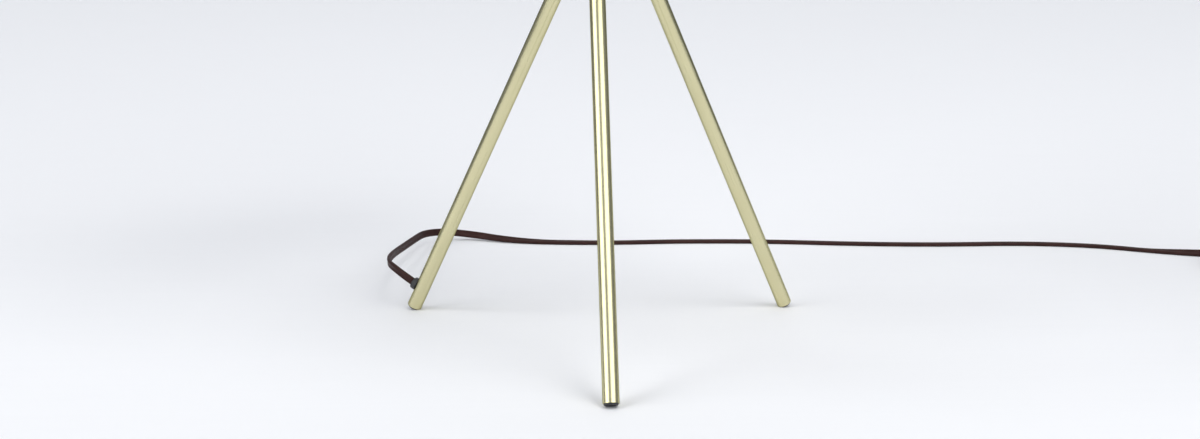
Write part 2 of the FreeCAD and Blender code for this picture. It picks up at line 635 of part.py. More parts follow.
def make_finial():
    thread = STUD_DIAMETER + 2 * THREAD_CLEARANCE
    stud_top = WASHER_BOTTOM + STUD_LENGTH
    add("finial_collar", ring(FINIAL_COLLAR_DIAMETER, thread, WASHER_TOP, FINIAL_COLLAR_HEIGHT))
    ball_radius = FINIAL_BALL_DIAMETER / 2
    neck_radius = FINIAL_NECK_DIAMETER / 2
    neck_top = COLLAR_TOP + FINIAL_NECK_HEIGHT
    centre_height = neck_top + math.sqrt(ball_radius**2 - neck_radius**2)
    ball = Part.makeSphere(ball_radius, V(0, 0, centre_height))
    ball = ball.fuse(rod(FINIAL_NECK_DIAMETER, centre_height - COLLAR_TOP, V(0, 0, COLLAR_TOP)))
    ball = ball.cut(rod(thread, stud_top - COLLAR_TOP + THREAD_CLEARANCE, V(0, 0, COLLAR_TOP)))
    add("finial_ball", ball)


# ---- Shade
def shade_radius(height):
    """The cloth's outer radius at a height."""
    share = (height - SHADE_BOTTOM) / SHADE_HEIGHT
    return (SHADE_BOTTOM_DIAMETER + share * (SHADE_TOP_DIAMETER - SHADE_BOTTOM_DIAMETER)) / 2


def shade_ring_radius(height):
    """A wire ring's centre line, inside the hem."""
    return shade_radius(height) - SHADE_HEM_WALL - RING_GAP - RING_WIRE_DIAMETER / 2


def make_shade():
    low, high = SHADE_BOTTOM, SHADE_TOP
    outer = [(shade_radius(low), low), (shade_radius(high), high)]
    inner = [
        (shade_radius(high) - SHADE_HEM_WALL, high),
        (shade_radius(high - SHADE_HEM) - SHADE_HEM_WALL, high - SHADE_HEM),
        (shade_radius(high - SHADE_HEM) - SHADE_WALL, high - SHADE_HEM),
        (shade_radius(low + SHADE_HEM) - SHADE_WALL, low + SHADE_HEM),
        (shade_radius(low + SHADE_HEM) - SHADE_HEM_WALL, low + SHADE_HEM),
        (shade_radius(low) - SHADE_HEM_WALL, low),
    ]
    add("shade_cover", turned(outer + inner))

    bottom_height = low + RING_WIRE_DIAMETER
    add("shade_bottom_ring", Part.makeTorus(shade_ring_radius(bottom_height), RING_WIRE_DIAMETER / 2,
                                            V(0, 0, bottom_height)))

    top_height = high - RING_WIRE_DIAMETER
    fitter = Part.makeTorus(shade_ring_radius(top_height), RING_WIRE_DIAMETER / 2, V(0, 0, top_height))
    washer = ring(WASHER_DIAMETER, STUD_DIAMETER + 2 * THREAD_CLEARANCE, WASHER_BOTTOM, WASHER_THICKNESS)
    fitter = fitter.fuse(washer)
    spoke_end = shade_ring_radius(top_height)
    seat_height = WASHER_TOP + SPOKE_DIAMETER / 2 - WASHER_THICKNESS
    for n in range(SPOKE_COUNT):
        path = [
            V(SPOKE_SEAT, 0, seat_height),
            V(SPOKE_SEAT + SPOKE_LEVEL * spoke_end, 0, seat_height),
            V(SPOKE_SEAT + SPOKE_RISEN * spoke_end, 0, top_height),
            V(spoke_end, 0, top_height),
        ]
        spoke = piped(route_wire(path), round_section(SPOKE_DIAMETER, path[0], V(1, 0, 0)))
        spoke.rotate(AXIS_POINT, UP, 90 + 360 / SPOKE_COUNT * n)
        fitter = fitter.fuse(spoke)
    collar_room = FINIAL_COLLAR_DIAMETER + 4 * THREAD_CLEARANCE
    fitter = fitter.cut(rod(collar_room, SPOKE_DIAMETER * 2, V(0, 0, WASHER_TOP)))
    below_washer = V(0, 0, WASHER_BOTTOM - SPOKE_DIAMETER)
    fitter = fitter.cut(rod(SWIVEL_BOSS_DIAMETER * 2, SPOKE_DIAMETER, below_washer))
    add("shade_fitter", fitter)


# ---- Lampholder
def knob_hole(diameter, start, length):
    return rod(diameter, length, V(0, -start, HOLDER_BASE + KNOB_HEIGHT), V(0, -1, 0))


def make_lampholder():
    base = HOLDER_BASE
    cap_radius = CAP_DIAMETER / 2
    collar_radius = CAP_COLLAR_DIAMETER / 2
    thread_radius = PIPE_DIAMETER / 2 + THREAD_CLEARANCE
    add("socket_cap", turned([
        (thread_radius, base), (collar_radius, base), (collar_radius, base + CAP_COLLAR_HEIGHT),
        (cap_radius * CAP_SHOULDER[0], base + CAP_SHOULDER[1]), (cap_radius, base + CAP_WIDE_FROM),
        (cap_radius, base + CAP_HEIGHT), (cap_radius - CAP_WALL, base + CAP_HEIGHT),
        (cap_radius - CAP_WALL, base + CAP_WIDE_INSIDE_FROM),
        (cap_radius * CAP_SHOULDER_INSIDE[0], base + CAP_SHOULDER_INSIDE[1]),
        (thread_radius, base + CAP_THREAD_HEIGHT),
    ]))

    shell_bore = SHELL_DIAMETER - 2 * SHELL_WALL
    shell = ring(SHELL_DIAMETER, shell_bore, base + SHELL_START, HOLDER_HEIGHT - SHELL_START)
    bead = Part.makeTorus(SHELL_DIAMETER / 2 - SHELL_WALL, SHELL_WALL * 1.5, V(0, 0, HOLDER_TOP))
    shell = shell.fuse(bead.common(rod(2 * SHELL_DIAMETER, 4 * SHELL_WALL, V(0, 0, HOLDER_TOP))))
    shell = shell.cut(knob_hole(KNOB_HOLE_DIAMETER, 0, SHELL_DIAMETER))
    add("socket_shell", shell)

    liner_diameter = SHELL_DIAMETER - 2 * (SHELL_WALL + LINER_GAP)
    liner = ring(liner_diameter, liner_diameter - 2 * LINER_WALL, base + SHELL_START + LINER_START,
                 HOLDER_HEIGHT - SHELL_START - LINER_START - LINER_TOP_INSET)
    add("socket_liner", liner.cut(knob_hole(KNOB_HOLE_DIAMETER, 0, SHELL_DIAMETER)))

    block = rod(BLOCK_DIAMETER, BLOCK_END - BLOCK_START, V(0, 0, base + BLOCK_START))
    stem_hole = KNOB_STEM_DIAMETER + 2 * KNOB_STEM_CLEARANCE
    block = block.cut(knob_hole(stem_hole, KNOB_STEM_DEPTH - KNOB_STEM_CLEARANCE, BLOCK_DIAMETER))
    screws = []
    block_radius = BLOCK_DIAMETER / 2
    for side in (-1, 1):
        outwards = V(side, 0, 0)
        head_start = V(side * (block_radius - TERMINAL_RECESS), 0, base + TERMINAL_HEIGHT)
        recess_diameter = TERMINAL_HEAD_DIAMETER + 2 * TERMINAL_RECESS_ROOM
        recess = rod(recess_diameter, TERMINAL_RECESS * 2, head_start, outwards)
        shank_start = head_start - outwards * TERMINAL_SCREW_LENGTH
        hole_diameter = TERMINAL_SCREW_DIAMETER + 2 * THREAD_CLEARANCE
        block = block.cut(recess).cut(rod(hole_diameter, TERMINAL_SCREW_LENGTH, shank_start, outwards))
        screws.append(rod(TERMINAL_SCREW_DIAMETER, TERMINAL_SCREW_LENGTH, shank_start, outwards)
                      .fuse(rod(TERMINAL_HEAD_DIAMETER, TERMINAL_HEAD_HEIGHT, head_start, outwards)))
    add("socket_block", block)
    add("terminal_screws", *screws)

    shell_bottom = base + BLOCK_END
    screw_shell_height = HOLDER_TOP - SCREW_SHELL_TOP_INSET - shell_bottom
    add("screw_shell", ring(SCREW_SHELL_BORE + 2 * SCREW_SHELL_WALL, SCREW_SHELL_BORE, shell_bottom,
                            screw_shell_height))
    foot = shell_bottom + TONGUE_THICKNESS / 2
    tip = CONTACT_BOTTOM - TONGUE_THICKNESS / 2
    path = list(zip(TONGUE_BENDS, (foot, foot, tip, tip)))
    add("centre_contact", bent_strip(path, TONGUE_THICKNESS, TONGUE_WIDTH))


def make_knob():
    height = HOLDER_BASE + KNOB_HEIGHT
    forward = V(0, -1, 0)
    stem_length = KNOB_START - KNOB_STEM_DEPTH + KNOB_STEM_BITE
    stem = rod(KNOB_STEM_DIAMETER, stem_length, V(0, -KNOB_STEM_DEPTH, height), forward)
    knob = rod(KNOB_DIAMETER, KNOB_LENGTH, V(0, -KNOB_START, height), forward)
    rim = KNOB_DIAMETER / 2
    knob = knob.makeChamfer(KNOB_CHAMFER, [knob.Edges[0], knob.Edges[2]])
    for n in range(KNOB_FLUTES):
        angle = 2 * math.pi * n / KNOB_FLUTES
        start = V(rim * math.cos(angle), -KNOB_START, height + rim * math.sin(angle))
        knob = knob.cut(rod(KNOB_FLUTE_DIAMETER, KNOB_LENGTH, start, forward))
    add("switch_knob", knob.fuse(stem))


# ---- Bulb
def make_bulb():
    shell_bottom = CONTACT_BOTTOM + CONTACT_HEIGHT + INSULATOR_HEIGHT
    shell_top = shell_bottom + BASE_SHELL_LENGTH
    add("bulb_contact", rod(CONTACT_DIAMETER, CONTACT_HEIGHT, V(0, 0, CONTACT_BOTTOM)))

    insulator = Part.makeCone(INSULATOR_TIP_DIAMETER / 2, BASE_DIAMETER / 2 - BASE_THREAD_DEPTH - BASE_WALL,
                              INSULATOR_HEIGHT, V(0, 0, CONTACT_BOTTOM + CONTACT_HEIGHT))
    add("bulb_insulator", insulator)

    crest = BASE_DIAMETER / 2
    root = crest - BASE_THREAD_DEPTH
    pitch = (BASE_SHELL_LENGTH - BASE_THREAD_START - BASE_THREAD_END) / BASE_THREADS
    rise, crest_end, fall = (share * pitch for share in BASE_THREAD_SHARES)
    outer = [(root, shell_bottom)]
    for n in range(BASE_THREADS):
        low = shell_bottom + BASE_THREAD_START + n * pitch
        outer += [(root, low), (crest, low + rise), (crest, low + crest_end), (root, low + fall)]
    outer.append((root, shell_top))
    inner = [(root - BASE_WALL, shell_top), (root - BASE_WALL, shell_bottom)]
    add("bulb_base", turned(outer + inner))

    add("bulb_glass", turned(glass_outline(root - BASE_WALL, shell_top - BULB_STUB_LENGTH, shell_top)))


def glass_outline(seat_radius, bottom, shoulder):
    """Edges of the glass's section: a stub in the base, a neck, a flare and a round crown."""
    radius = BULB_DIAMETER / 2
    centre = BULB_TOP - radius
    neck = BULB_NECK_DIAMETER / 2
    neck_top = shoulder + BULB_NECK_LENGTH
    neck_start = shoulder + BULB_SHOULDER_HEIGHT
    stub = seat_radius - BULB_STUB_CLEARANCE

    def at(r, z):
        return V(r, 0, z)

    def crown(r, angle):
        return at(r * math.cos(angle), centre + r * math.sin(angle))

    wall = BULB_GLASS_WALL
    edges = []

    def line(a, b):
        edges.append(Part.LineSegment(a, b).toShape())

    def arc(a, b, c):
        edges.append(Part.Arc(a, b, c).toShape())

    out_joint = crown(radius, BULB_CROWN_FROM)
    in_joint = crown(radius - wall, BULB_CROWN_FROM)
    middle_height = (neck_top + out_joint.z) / 2
    out_middle = at((neck + out_joint.x) / 2 - BULB_FLARE_HOLLOW, middle_height)
    in_middle = at((neck - wall + in_joint.x) / 2 - BULB_FLARE_HOLLOW, middle_height + wall / 3)
    line(at(stub, bottom), at(stub, shoulder))
    line(at(stub, shoulder), at(neck, neck_start))
    line(at(neck, neck_start), at(neck, neck_top))
    arc(at(neck, neck_top), out_middle, out_joint)
    arc(out_joint, crown(radius, BULB_CROWN_MIDDLE), at(0, BULB_TOP))
    line(at(0, BULB_TOP), at(0, BULB_TOP - wall))
    arc(at(0, BULB_TOP - wall), crown(radius - wall, BULB_CROWN_MIDDLE), in_joint)
    arc(in_joint, in_middle, at(neck - wall, neck_top))
    line(at(neck - wall, neck_top), at(neck - wall, neck_start + wall / 2))
    line(at(neck - wall, neck_start + wall / 2), at(stub - wall, shoulder + wall / 2))
    line(at(stub - wall, shoulder + wall / 2), at(stub - wall, bottom))
    line(at(stub - wall, bottom), at(stub, bottom))
    return edges


# ---- Bushing and cord
def flat_section(centre, wide, thin, width, thickness):
    """The cord's outline: two flat sides and two round edges."""
    straight = (width - thickness) / 2
    radius = thickness / 2
    signs = ((-1, 1), (1, 1), (1, -1), (-1, -1))
    corners = [centre + wide * (a * straight) + thin * (b * radius) for a, b in signs]
    return Part.Wire([
        Part.LineSegment(corners[0], corners[1]).toShape(),
        Part.Arc(corners[1], centre + wide * (straight + radius), corners[2]).toShape(),
        Part.LineSegment(corners[2], corners[3]).toShape(),
        Part.Arc(corners[3], centre - wide * (straight + radius), corners[0]).toShape(),
    ])


def make_bushing():
    centre, normal = bushing_frame()
    along = leg_direction(LEG_AZIMUTHS["left"])
    across = unit(along.cross(normal))
    inner_end = LEG_BORE_RADIUS - BUSHING_SPIGOT_PAST_WALL
    outer_face = LEG_RADIUS + BUSHING_PROUD
    barrel = rod(BUSHING_DIAMETER, outer_face - LEG_BORE_RADIUS, centre + normal * LEG_BORE_RADIUS, normal)
    outer_rim = max(barrel.Edges, key=lambda edge: edge.CenterOfMass.dot(normal))
    barrel = barrel.makeFillet(BUSHING_EDGE, [outer_rim])
    barrel = barrel.cut(rod(LEG_DIAMETER + 2 * BUSHING_CLEARANCE, 4 * BUSHING_DIAMETER,
                            centre - along * (2 * BUSHING_DIAMETER), along))
    spigot_length = outer_face - BUSHING_EDGE - inner_end
    spigot = rod(BUSHING_SPIGOT_DIAMETER, spigot_length, centre + normal * inner_end, normal)
    way = Part.Face(flat_section(centre, along, across, CORD_WIDTH + 2 * CORD_CLEARANCE,
                                 CORD_THICKNESS + 2 * CORD_CLEARANCE)).extrude(normal * (2 * outer_face))
    add("cord_bushing", barrel.fuse(spigot).cut(way))
    return centre + normal * outer_face, across


def make_inner_cord(outer_face, across_leg):
    """From the bushing's outer face, up the left leg, across the housing and up the pipe."""
    centre, normal = bushing_frame()
    azimuth = LEG_AZIMUTHS["left"]
    along = leg_direction(azimuth)
    bend = CORD_LEG_BEND
    lines = []

    def line(a, b):
        lines.append(Part.LineSegment(a, b).toShape())

    def quarter(start, into, out, radius, turn):
        """An arc from start that turns from one direction towards another by an angle."""
        pivot = start + out * radius
        middle = pivot - out * (radius * math.cos(turn / 2)) + into * (radius * math.sin(turn / 2))
        end = pivot - out * (radius * math.cos(turn)) + into * (radius * math.sin(turn))
        lines.append(Part.Arc(start, middle, end).toShape())
        return end

    turn_start = centre + normal * bend
    line(outer_face, turn_start)
    in_leg = quarter(turn_start, normal * -1, along, bend, math.pi / 2)
    past_leg = leg_point(azimuth, LEG_TOP_HEIGHT) + along * CORD_ABOVE_LEG
    line(in_leg, past_leg)
    # over the top of the leg, towards the lamp's axis, until the cord lies level
    inwards = leg_outer_normal(azimuth)
    level = unit(V(-along.x, -along.y, 0))
    over_turn = along.getAngle(level)
    over = quarter(past_leg, along, inwards, CORD_HOUSING_BEND, over_turn)
    # a small sideways jog brings the cord onto the axis
    across = UP.cross(level)
    offset = -over.dot(across)
    side_turn = math.acos(1 - abs(offset) / (2 * CORD_SIDE_BEND))
    toward = across * math.copysign(1, offset)
    straight_in = over.dot(level * -1) - 2 * CORD_SIDE_BEND * math.sin(side_turn) - CORD_HOUSING_BEND
    jog_start = over + level * (straight_in / 2)
    line(over, jog_start)
    middle = quarter(jog_start, level, toward, CORD_SIDE_BEND, side_turn)
    slanted = level * math.cos(side_turn) + toward * math.sin(side_turn)
    back = level * math.sin(side_turn) - toward * math.cos(side_turn)
    jog_end = quarter(middle, slanted, back, CORD_SIDE_BEND, side_turn)
    rise_start = V(0, 0, jog_end.z) - level * CORD_HOUSING_BEND
    line(jog_end, rise_start)
    upright = quarter(rise_start, level, UP, CORD_HOUSING_BEND, math.pi / 2)
    top = V(0, 0, PIPE_TOP - CORD_END_IN_PIPE)
    line(upright, top)
    section = flat_section(outer_face, along, across_leg, CORD_WIDTH, CORD_THICKNESS)
    cord = piped(Part.Wire(lines), section)
    area = CORD_THICKNESS * (CORD_WIDTH - CORD_THICKNESS) + math.pi * (CORD_THICKNESS / 2) ** 2
    length = sum(edge.Length for edge in lines)
    print("inner cord length", round(length, 1), "volume share", round(cord.Volume / (area * length), 4))
    add("inner_cord", cord)

    wires = []
    wire_level = HOLDER_BASE + BLOCK_START - WIRE_DIAMETER / 2 - WIRE_CLEARANCE
    head_x = BLOCK_DIAMETER / 2 - TERMINAL_RECESS + WIRE_DIAMETER / 2 + CORD_CLEARANCE
    for side in (-1, 1):
        path = [
            V(side * CORD_THICKNESS / 2, 0, top.z + CORD_CLEARANCE),
            V(side * CORD_THICKNESS / 2, 0, wire_level),
            V(side * head_x, 0, wire_level),
            V(side * head_x, 0, HOLDER_BASE + TERMINAL_HEIGHT - TERMINAL_HEAD_DIAMETER / 2),
        ]
        wires.append(piped(route_wire(path), round_section(WIRE_DIAMETER, path[0], UP)))
    add("socket_wires", *wires)


def coil_position(turn):
    """A point of the coil's centre line and its direction, at a number of turns from its start."""
    half_climb = COIL_CLIMB_TURNS / 2
    middle = COIL_TURNS_PER_LAYER + half_climb
    inner = COIL_RADIUS - COIL_PITCH * COIL_TURNS_PER_LAYER / 2
    from_middle = turn - middle
    if abs(from_middle) < half_climb:
        radius = inner - COIL_PITCH * (half_climb**2 - from_middle**2) / (2 * half_climb)
        slope = COIL_PITCH * from_middle / half_climb
        share = from_middle / COIL_CLIMB_TURNS + 0.5
        height = CORD_RADIUS + COIL_LAYER * share**2 * (3 - 2 * share)
        climb = COIL_LAYER * 6 * share * (1 - share) / COIL_CLIMB_TURNS
    else:
        radius = inner + COIL_PITCH * (abs(from_middle) - half_climb)
        slope = math.copysign(COIL_PITCH, from_middle)
        height = CORD_RADIUS + (COIL_LAYER if from_middle > 0 else 0)
        climb = 0
    angle = math.radians(COIL_START) - 2 * math.pi * turn
    outward = V(math.cos(angle), math.sin(angle), 0)
    clockwise = V(math.sin(angle), -math.cos(angle), 0)
    direction = clockwise * (2 * math.pi * radius) + outward * slope + UP * climb
    return V(*COIL_CENTRE, height) + outward * radius, unit(direction)


def arc_from(start, direction, end):
    """The arc that leaves start along direction and reaches end."""
    chord = end - start
    along = unit(chord)
    aside = direction - along * direction.dot(along)
    sagitta = chord.Length / 2 * math.tan(direction.getAngle(chord) / 2)
    return Part.Arc(start, start + chord * 0.5 + unit(aside) * sagitta, end).toShape()


def biarc(start, direction, end, end_direction):
    """Two arcs that join two points and keep both directions."""
    chord = end - start
    both = direction + end_direction
    spread = 2 * (1 - direction.dot(end_direction))
    reach = (math.sqrt(chord.dot(both) ** 2 + spread * chord.dot(chord)) - chord.dot(both)) / spread
    joint = (start + direction * reach + end - end_direction * reach) * 0.5
    tail = arc_from(end, end_direction * -1, joint)
    return [arc_from(start, direction, joint), tail]


def make_coil():
    turns = 2 * COIL_TURNS_PER_LAYER + COIL_CLIMB_TURNS
    steps = math.ceil(turns * COIL_STEPS_PER_TURN)
    stations = [coil_position(turns * n / steps) for n in range(steps + 1)]
    edges = []
    for (start, direction), (end, end_direction) in zip(stations, stations[1:]):
        edges += biarc(start, direction, end, end_direction)
    wire = Part.Wire(Part.__sortEdges__(edges))
    start, direction = stations[0]
    coil = piped(wire, round_section(CORD_WIDTH, start, direction))
    print("coil length", round(wire.Length, 1), "volume share",
          round(coil.Volume / (math.pi * CORD_RADIUS**2 * wire.Length), 4))
    print("coil's least gap to itself", round(least_gap(turns), 2))
    add("cord_coil", coil)
    return stations[0], stations[-1]


def least_gap(turns):
    """The least distance between two loops' surfaces, on points half a turn or more apart."""
    per_turn = 72
    count = int(turns * per_turn)
    points = [coil_position(n / per_turn)[0] for n in range(count + 1)]
    return min((points[b] - points[a]).Length for a in range(count + 1)
               for b in range(a + per_turn // 2, count + 1)) - CORD_WIDTH


def make_cord():
    outer_face, across_leg = make_bushing()
    make_inner_cord(outer_face, across_leg)
    (coil_start, coil_direction), (coil_end, tail_direction) = make_coil()

    route = [outer_face] + [V(*point) for point in CORD_ROUTE]
    route += [coil_start - coil_direction * COIL_LEAD, coil_start]
    wire = route_wire(route, "cord run")
    first = unit(route[1] - route[0])
    run = piped(wire, round_section(CORD_WIDTH, outer_face, first))
    print("cord run length", round(wire.Length, 1), "volume share",
          round(run.Volume / (math.pi * CORD_RADIUS**2 * wire.Length), 4))
    add("cord_run", run)

    level = unit(V(tail_direction.x, tail_direction.y, 0))
    left = UP.cross(level)
    route = [coil_end] + [coil_end + level * x + left * y + UP * z for x, y, z in TAIL_ROUTE]
    wire = route_wire(route, "cord tail")
    add("cord_tail", piped(wire, round_section(CORD_WIDTH, coil_end, level)))
    print("cord tail length", round(wire.Length, 1))
    make_plug(route[-1], unit(route[-1] - route[-2]))


def make_plug(entry, heading):
    """A flat two-blade plug that lies on the table."""
    level = unit(V(heading.x, heading.y, 0))
    left = UP.cross(level)
    half_width = PLUG_BODY_WIDTH / 2
    half_thick = PLUG_BODY_THICKNESS / 2
    neck = rod(PLUG_NECK_DIAMETER, PLUG_NECK_LENGTH + PLUG_EDGE, V(0, 0, 0), V(1, 0, 0))
    body = Part.makeBox(PLUG_BODY_LENGTH, PLUG_BODY_WIDTH, PLUG_BODY_THICKNESS,
                        V(PLUG_NECK_LENGTH, -half_width, -half_thick))
    body = body.makeFillet(PLUG_EDGE, body.Edges)
    body = body.fuse(neck)
    front = PLUG_NECK_LENGTH + PLUG_BODY_LENGTH
    blades = []
    for side in (-1, 1):
        corner = V(front - BLADE_ROOT, side * BLADE_SPACING / 2 - BLADE_THICKNESS / 2, -BLADE_WIDTH / 2)
        blade = Part.makeBox(BLADE_LENGTH + BLADE_ROOT, BLADE_THICKNESS, BLADE_WIDTH, corner)
        body = body.cut(blade)
        blades.append(blade)
    placement = FreeCAD.Placement(V(entry.x, entry.y, half_thick), FreeCAD.Rotation(V(1, 0, 0), level))
    for solid in [body] + blades:
        solid.Placement = placement
    add("plug_body", body)
    add("plug_blades", *blades)


def main():
    make_legs()
    make_leg_plugs()
    make_hub()
    make_housing()
    make_lid()
    make_pipe()
    make_saddle()
    make_harp()
    make_swivel()
    make_finial()
    make_shade()
    make_lampholder()
    make_knob()
    make_bulb()
    make_cord()
    os.makedirs("parts", exist_ok=True)
    for name, solids in NODES.items():
        shape = solids[0] if len(solids) == 1 else Part.makeCompound(solids)
        for solid in solids:
            if not solid.isValid() or len(solid.Solids) != 1:
                print("check", name, "valid", solid.isValid(), "solids", len(solid.Solids))
        shape.exportStep("parts/" + name + ".step")
    print(len(NODES), "sub-parts")


main()
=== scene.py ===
import math

import bpy
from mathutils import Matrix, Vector


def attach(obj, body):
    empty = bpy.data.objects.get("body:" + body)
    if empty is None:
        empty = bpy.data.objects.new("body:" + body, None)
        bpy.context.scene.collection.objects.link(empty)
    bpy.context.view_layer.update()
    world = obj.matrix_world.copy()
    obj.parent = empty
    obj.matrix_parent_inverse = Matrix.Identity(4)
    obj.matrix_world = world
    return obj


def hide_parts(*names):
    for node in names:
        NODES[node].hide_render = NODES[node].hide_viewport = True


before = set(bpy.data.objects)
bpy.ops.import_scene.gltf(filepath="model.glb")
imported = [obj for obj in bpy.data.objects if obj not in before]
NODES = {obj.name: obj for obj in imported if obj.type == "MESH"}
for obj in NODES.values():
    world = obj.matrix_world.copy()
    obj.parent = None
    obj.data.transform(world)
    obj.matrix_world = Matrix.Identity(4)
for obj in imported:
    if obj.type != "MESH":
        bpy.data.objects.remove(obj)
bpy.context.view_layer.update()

SCENE = bpy.context.scene
UP = Vector((0, 0, 1))
MM = 0.001


def link(thing):
    SCENE.collection.objects.link(thing)
    return thing


# ---- Camera: the photograph's, from a fit to the legs' edges
PHOTO_WIDTH = 1200
FOCAL_PIXELS = 1877.98
SENSOR_WIDTH = 36.0
CAMERA_PLACE = (-0.04747, -1.50901, 0.43468)
CAMERA_PITCH = 0.2179  # down, in radians
CAMERA_HEADING = 0.0297  # from +Y towards +X, in radians
CAMERA_REACH = (0.05, 60.0)


def make_camera():
    data = bpy.data.cameras.new("camera")
    data.sensor_fit = "HORIZONTAL"
    data.sensor_width = SENSOR_WIDTH
    data.lens = SENSOR_WIDTH * FOCAL_PIXELS / PHOTO_WIDTH
    data.clip_start, data.clip_end = CAMERA_REACH
    camera = link(bpy.data.objects.new("camera", data))
    camera.location = CAMERA_PLACE
    camera.rotation_euler = (math.pi / 2 - CAMERA_PITCH, 0, -CAMERA_HEADING)
    SCENE.camera = camera


# ---- Nodes
# The sockets that a Mix node uses for colours
MIX_SHARE, MIX_FIRST, MIX_SECOND, MIX_RESULT = 0, 6, 7, 2


class NodeTree:
    """The nodes of a material or of the world."""

    def __init__(self, tree):
        self.tree = tree

    def feed(self, socket, value):
        """Links a socket to another, or sets its constant. A colour comes without its alpha."""
        if isinstance(value, bpy.types.NodeSocket):
            self.tree.links.new(value, socket)
        elif socket.type == "RGBA":
            socket.default_value = (*value, 1)
        else:
            socket.default_value = value

    def add(self, kind, inputs=(), **settings):
        node = self.tree.nodes.new("ShaderNode" + kind)
        for key, value in settings.items():
            setattr(node, key, value)
        for key, value in dict(inputs).items():
            self.feed(node.inputs[key], value)
        return node

    def calc(self, operation, a, b=0.0):
        return self.add("Math", {0: a, 1: b}, operation=operation).outputs[0]

    def times(self, a, b):
        return self.calc("MULTIPLY", a, b)

    def dot(self, a, b):
        return self.add("VectorMath", {0: a, 1: b}, operation="DOT_PRODUCT").outputs["Value"]

    def scaled(self, vector, factor):
        return self.add("VectorMath", {0: vector, "Scale": factor}, operation="SCALE").outputs[0]

    def vector(self, *parts):
        return self.add("CombineXYZ", dict(enumerate(parts))).outputs[0]

    def parts(self, vector):
        return self.add("SeparateXYZ", {0: vector}).outputs

    def spread(self, value, low, high, source=(0.3, 0.7)):
        """A value between two limits, turned into one between two others."""
        values = {
            "Value": value,
            "From Min": source[0],
            "From Max": source[1],
            "To Min": low,
            "To Max": high,
        }
        return self.add("MapRange", values).outputs[0]

    def mix(self, share, first, second):
        values = {MIX_SHARE: share, MIX_FIRST: first, MIX_SECOND: second}
        return self.add("Mix", values, data_type="RGBA").outputs[MIX_RESULT]


class Finish(NodeTree):
    """A material in the making. Its coordinates are the frame's, in metres."""

    def __init__(self, name, roughness=0.5, metallic=0.0):
        self.material = bpy.data.materials.new(name)
        self.material.use_nodes = True
        super().__init__(self.material.node_tree)
        self.shader = self.tree.nodes["Principled BSDF"]
        self.place = self.add("TexCoord").outputs["Object"]
        self.put(Roughness=roughness, Metallic=metallic)

    def put(self, **values):
        """Sets or links the shader's inputs; an underscore stands for a space."""
        for name, value in values.items():
            self.feed(self.shader.inputs[name.replace("_", " ")], value)

    def noise(self, vector, scale=1.0, detail=3.0, roughness=0.6):
        values = {"Vector": vector, "Scale": scale, "Detail": detail, "Roughness": roughness}
        return self.add("TexNoise", values).outputs[0]

    def bump(self, height, strength, distance):
        values = {"Height": height, "Strength": strength, "Distance": distance}
        self.put(Normal=self.add("Bump", values).outputs[0])

    def lengthwise(self, axis, fine, coarse):
        """Coordinates that vary quickly across an axis and slowly along it."""
        share = self.dot(self.place, axis)
        along = self.scaled(tuple(axis), self.times(share, coarse - fine))
        values = {0: self.scaled(self.place, fine), 1: along}
        return self.add("VectorMath", values, operation="ADD").outputs[0]

    def around(self, fine, coarse):
        """Coordinates that vary quickly in radius and height, and slowly round the lamp's axis."""
        x, y, z = self.parts(self.place)
        radius = self.add("VectorMath", {0: self.vector(x, y)}, operation="LENGTH").outputs["Value"]
        angle = self.calc("ARCTAN2", y, x)
        return self.vector(self.times(radius, fine), self.times(z, fine), self.times(angle, coarse))


# ---- Metals
BRASS = (0.71, 0.67, 0.42)
BRASS_DEEP = (0.67, 0.625, 0.375)
# A dark tint for the brass's reflections at grazing angles: painted shade that darkens the rims of the
# legs and turned parts
BRASS_RIM_SHADE_TINT = (0.30, 0.30, 0.15)
BRIGHT_BRASS = (0.80, 0.70, 0.42)
BRIGHT_BRASS_DEEP = (0.74, 0.63, 0.35)
ZINC = (0.60, 0.60, 0.59)
ZINC_DEEP = (0.50, 0.50, 0.50)
ALUMINIUM = (0.80, 0.80, 0.79)
ALUMINIUM_DEEP = (0.71, 0.71, 0.71)

FINE_GRAIN = 2600.0  # per metre, across the brushing
SLOW_GRAIN = 2.0  # per metre along the brushing, or per radian round a turned piece
METAL_CLOUDS = 38.0  # per metre
GRAIN_DEPTH = 0.00004
GRAIN_SHARE = 0.7  # of the roughness; the clouds have the rest
CLOUD_SHARE = 0.3
METAL_ANISOTROPY = 0.25
LEG_RING_RISE = 0.007  # an end ring of a leaning leg, from its lowest to its highest point


def metal(name, colour, deep, grain=None, roughness=(0.20, 0.30), bump=0.022, edge=None):
    """Brushed, lacquered metal. grain is the axis of the brushing, or None for turned pieces."""
    finish = Finish(name, metallic=1.0)
    if grain is None:
        vector = finish.around(FINE_GRAIN, SLOW_GRAIN)
    else:
        vector = finish.lengthwise(grain, FINE_GRAIN, SLOW_GRAIN)
    lines = finish.noise(vector)
    clouds = finish.noise(finish.place, METAL_CLOUDS, roughness=0.5)
    both = finish.calc("ADD", finish.times(lines, GRAIN_SHARE), finish.times(clouds, CLOUD_SHARE))
    finish.put(Roughness=finish.spread(both, *roughness), Base_Color=finish.mix(clouds, deep, colour))
    finish.bump(lines, bump, GRAIN_DEPTH)
    # edge tints the reflections at grazing angles darker: painted shade along the rims
    if edge:
        finish.put(Specular_Tint=edge)
    finish.put(Anisotropic=METAL_ANISOTROPY)
    return finish.material


def leg_axis(node):
    """The direction of a leg, from the middles of its two end rings."""
    corners = [vertex.co for vertex in NODES[node].data.vertices]
    bottom = min(corner.z for corner in corners)
    top = max(corner.z for corner in corners)
    low = [corner for corner in corners if corner.z < bottom + LEG_RING_RISE]
    high = [corner for corner in corners if corner.z > top - LEG_RING_RISE]
    return (sum(high, Vector()) / len(high) - sum(low, Vector()) / len(low)).normalized()


def leg_brass(side):
    axis = leg_axis("leg_" + side)
    return metal("satin_brass_" + side, BRASS, BRASS_DEEP, axis, edge=BRASS_RIM_SHADE_TINT)


